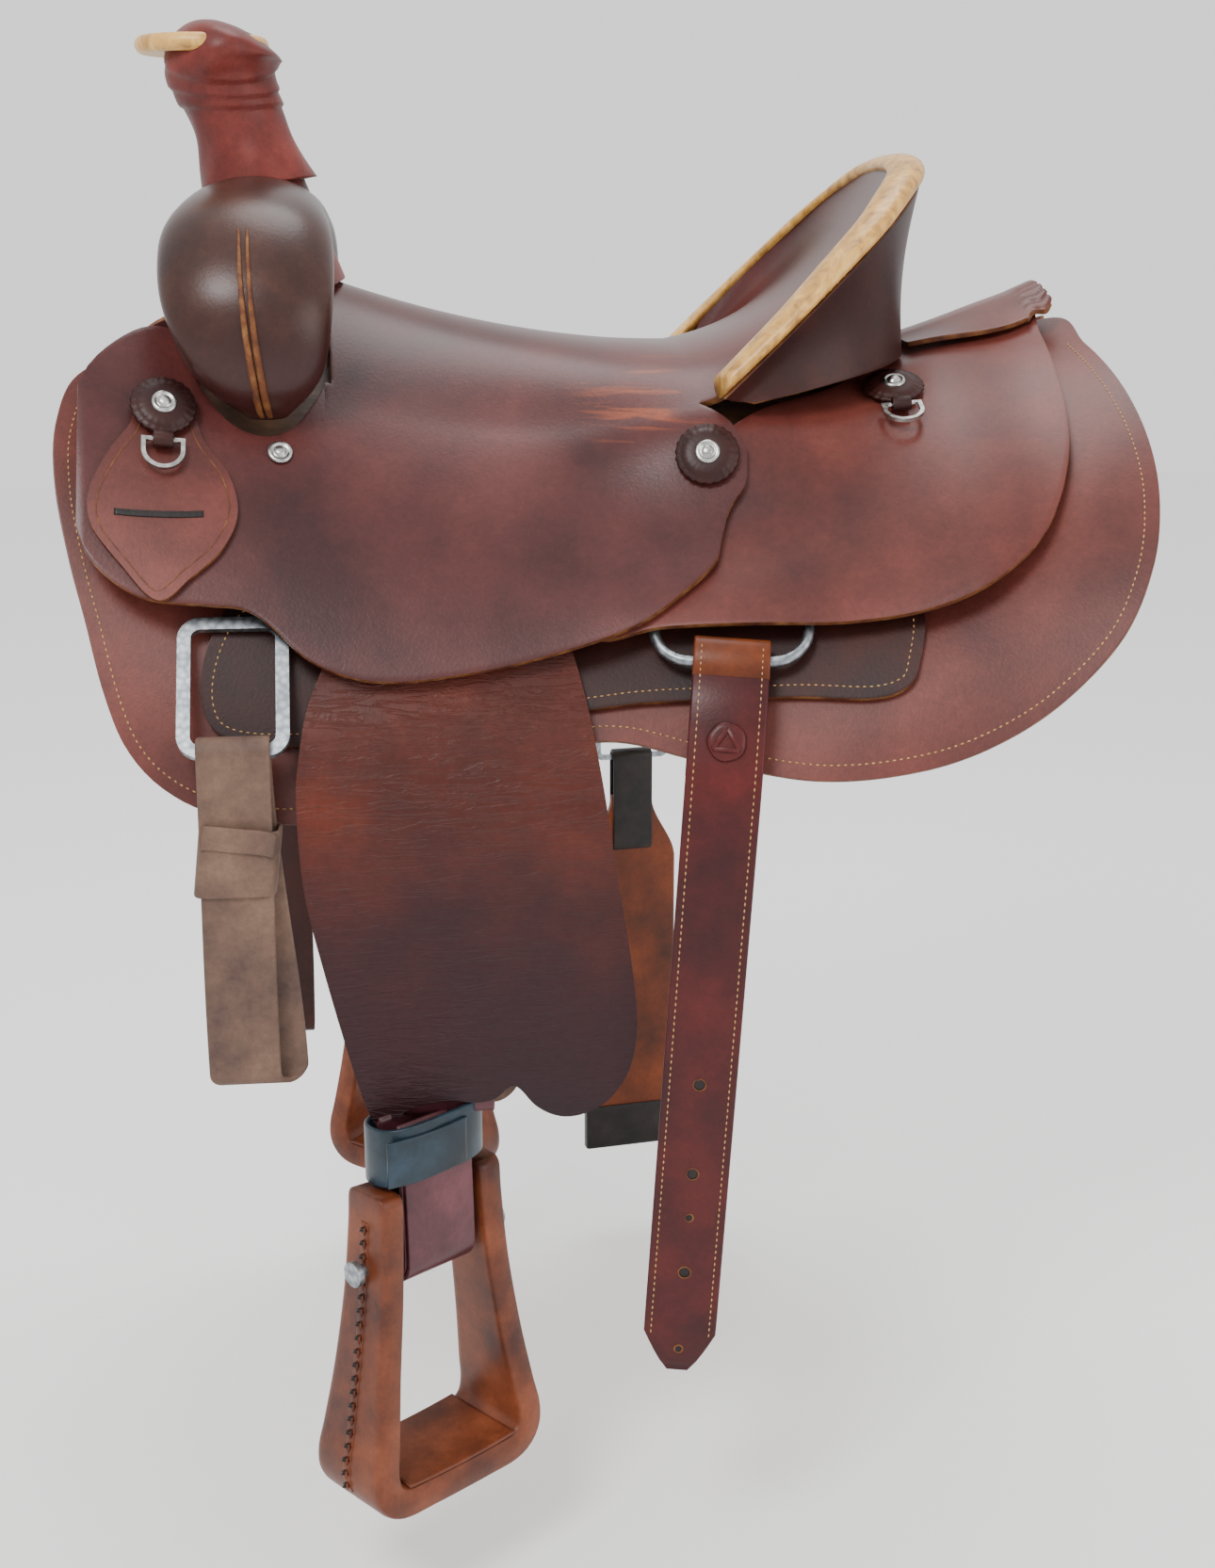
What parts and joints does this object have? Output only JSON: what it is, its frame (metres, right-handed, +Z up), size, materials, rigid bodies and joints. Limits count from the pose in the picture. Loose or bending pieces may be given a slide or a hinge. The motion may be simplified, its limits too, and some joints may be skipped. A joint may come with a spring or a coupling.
{
  "type": "western saddle",
  "caption": "Western stock saddle with post horn, rawhide-bound cantle, double rigging, hanging latigo and billets, and leather-covered stirrups",
  "frame": {"origin": "On the horse's spine line, below the middle of the saddle, where the saddle rests on the back", "axes": "X towards the tail, Y to the off (right) side, Z up"},
  "size_m": [0.6763, 0.6028, 0.9117],
  "materials": {
    "saddle_leather": "smooth",
    "dark_leather": "smooth",
    "worn_leather": "worn",
    "latigo_leather": "matt",
    "blue_black_leather": "smooth",
    "russet_lace": "smooth",
    "rawhide": "waxed",
    "fleece_wool": "pile",
    "tree_wood": "rawhide covered",
    "horn_steel": "painted",
    "galvanised_steel": "galvanised"
  },
  "bodies": {
    "saddle": {"tree_bar_left": "tree_wood", "tree_bar_right": "tree_wood", "fork": "tree_wood", "horn_core": "horn_steel", "cantle_board": "tree_wood", "ground_seat": "tree_wood", "fleece_left": "fleece_wool", "fleece_right": "fleece_wool", "skirt_left": "saddle_leather", "skirt_right": "saddle_leather", "swell_cover": "dark_leather", "swell_welts": "russet_lace", "gullet_cover": "dark_leather", "horn_wrap": "saddle_leather", "horn_cap": "dark_leather", "horn_binding": "rawhide", "seat_leather": "saddle_leather", "cantle_back": "dark_leather", "cantle_binding": "rawhide", "back_jockey_left": "saddle_leather", "back_jockey_right": "saddle_leather", "back_jockey_patch": "saddle_leather", "rig_plate_left": "dark_leather", "rig_plate_right": "dark_leather", "latigo_keeper": "saddle_leather", "rosettes": "dark_leather", "concho_screws": "galvanised_steel", "dee_tabs": "dark_leather", "rear_ring_left": "galvanised_steel", "rear_ring_right": "galvanised_steel"},
    "saddle_dee_front_left": {"saddle_dee_front_left": "galvanised_steel"},
    "saddle_dee_rear_left": {"saddle_dee_rear_left": "galvanised_steel"},
    "front_dee_left": {"front_dee_left": "galvanised_steel"},
    "latigo_left": {"latigo_left": "latigo_leather"},
    "flank_billet_left": {"flank_billet_left": "saddle_leather", "billet_knot_left": "russet_lace"},
    "leg_left": {"stirrup_leather_left": "saddle_leather"},
    "fender_left": {"fender_left": "saddle_leather", "stirrup_loop_left": "saddle_leather", "hobble_strap_left": "blue_black_leather"},
    "stirrup_left": {"stirrup_left": "worn_leather", "stirrup_bolt_left": "galvanised_steel"},
    "saddle_dee_front_right": {"saddle_dee_front_right": "galvanised_steel"},
    "saddle_dee_rear_right": {"saddle_dee_rear_right": "galvanised_steel"},
    "front_dee_right": {"front_dee_right": "galvanised_steel"},
    "off_billet_right": {"off_billet_right": "saddle_leather"},
    "flank_billet_right": {"flank_billet_right": "saddle_leather", "billet_knot_right": "russet_lace", "flank_cinch_buckle": "galvanised_steel"},
    "flank_cinch": {"flank_cinch": "worn_leather"},
    "leg_right": {"stirrup_leather_right": "saddle_leather"},
    "fender_right": {"fender_right": "saddle_leather", "stirrup_loop_right": "saddle_leather", "hobble_strap_right": "blue_black_leather"},
    "stirrup_right": {"stirrup_right": "worn_leather", "stirrup_bolt_right": "galvanised_steel"}
  },
  "joints": [
    {"name": "saddle_dee_front_left_swing", "type": "hinge", "parent": "saddle", "child": "saddle_dee_front_left", "pos_m": [-0.28613, -0.15889, -0.0054], "axis": [-0.983, -0.1454, 0.1123], "range_deg": [0, 130]},
    {"name": "saddle_dee_rear_left_swing", "type": "hinge", "parent": "saddle", "child": "saddle_dee_rear_left", "pos_m": [0.17453, -0.12403, 0.00862], "axis": [-0.996, 0.0389, -0.0808], "range_deg": [0, 130]},
    {"name": "front_dee_left_swing", "type": "hinge", "parent": "saddle", "child": "front_dee_left", "pos_m": [-0.248, -0.18785, -0.11318], "axis": [-1, 0, 0], "range_deg": [0, 20]},
    {"name": "latigo_swing", "type": "hinge", "parent": "front_dee_left", "child": "latigo_left", "pos_m": [-0.248, -0.23934, -0.17955], "axis": [-1, 0, 0], "range_deg": [0, 60]},
    {"name": "flank_billet_left_swing", "type": "hinge", "parent": "saddle", "child": "flank_billet_left", "pos_m": [0.05, -0.22206, -0.13569], "axis": [-0.9877, 0.1564, 0], "range_deg": [0, 13]},
    {"name": "leg_swing_left", "type": "hinge", "parent": "saddle", "child": "leg_left", "pos_m": [-0.112, -0.15667, -0.07998], "axis": [0, 0.7681, -0.6403], "range_deg": [-3, 3]},
    {"name": "leg_lift_left", "type": "hinge", "parent": "leg_left", "child": "fender_left", "pos_m": [-0.112, -0.215, -0.158], "axis": [-1, 0, 0], "range_deg": [0, 50]},
    {"name": "stirrup_tilt_left", "type": "hinge", "parent": "fender_left", "child": "stirrup_left", "pos_m": [-0.142, -0.23244, -0.506], "axis": [0.788, 0.6157, 0], "range_deg": [-30, 30]},
    {"name": "saddle_dee_front_right_swing", "type": "hinge", "parent": "saddle", "child": "saddle_dee_front_right", "pos_m": [-0.28704, 0.15501, -0.0084], "axis": [0.983, -0.1454, -0.1123], "range_deg": [0, 130]},
    {"name": "saddle_dee_rear_right_swing", "type": "hinge", "parent": "saddle", "child": "saddle_dee_rear_right", "pos_m": [0.17453, 0.12403, 0.00862], "axis": [0.996, 0.0389, 0.0808], "range_deg": [0, 130]},
    {"name": "front_dee_right_swing", "type": "hinge", "parent": "saddle", "child": "front_dee_right", "pos_m": [-0.248, 0.18785, -0.11318], "axis": [1, 0, 0], "range_deg": [0, 20]},
    {"name": "off_billet_swing", "type": "hinge", "parent": "front_dee_right", "child": "off_billet_right", "pos_m": [-0.248, 0.23934, -0.17955], "axis": [1, 0, 0], "range_deg": [0, 60]},
    {"name": "flank_billet_right_swing", "type": "hinge", "parent": "saddle", "child": "flank_billet_right", "pos_m": [0.05, 0.22206, -0.13569], "axis": [0.9877, 0.1564, 0], "range_deg": [0, 13]},
    {"name": "flank_cinch_swing", "type": "hinge", "parent": "flank_billet_right", "child": "flank_cinch", "pos_m": [0.05065, 0.26814, -0.31769], "axis": [0.9877, 0.1564, 0], "range_deg": [-75, 45]},
    {"name": "leg_swing_right", "type": "hinge", "parent": "saddle", "child": "leg_right", "pos_m": [-0.112, 0.15667, -0.07998], "axis": [0, 0.7681, 0.6403], "range_deg": [-3, 3]},
    {"name": "leg_lift_right", "type": "hinge", "parent": "leg_right", "child": "fender_right", "pos_m": [-0.112, 0.215, -0.158], "axis": [1, 0, 0], "range_deg": [0, 50]},
    {"name": "stirrup_tilt_right", "type": "hinge", "parent": "fender_right", "child": "stirrup_right", "pos_m": [-0.142, 0.23244, -0.506], "axis": [0.788, -0.6157, 0], "range_deg": [-30, 30]}
  ]
}
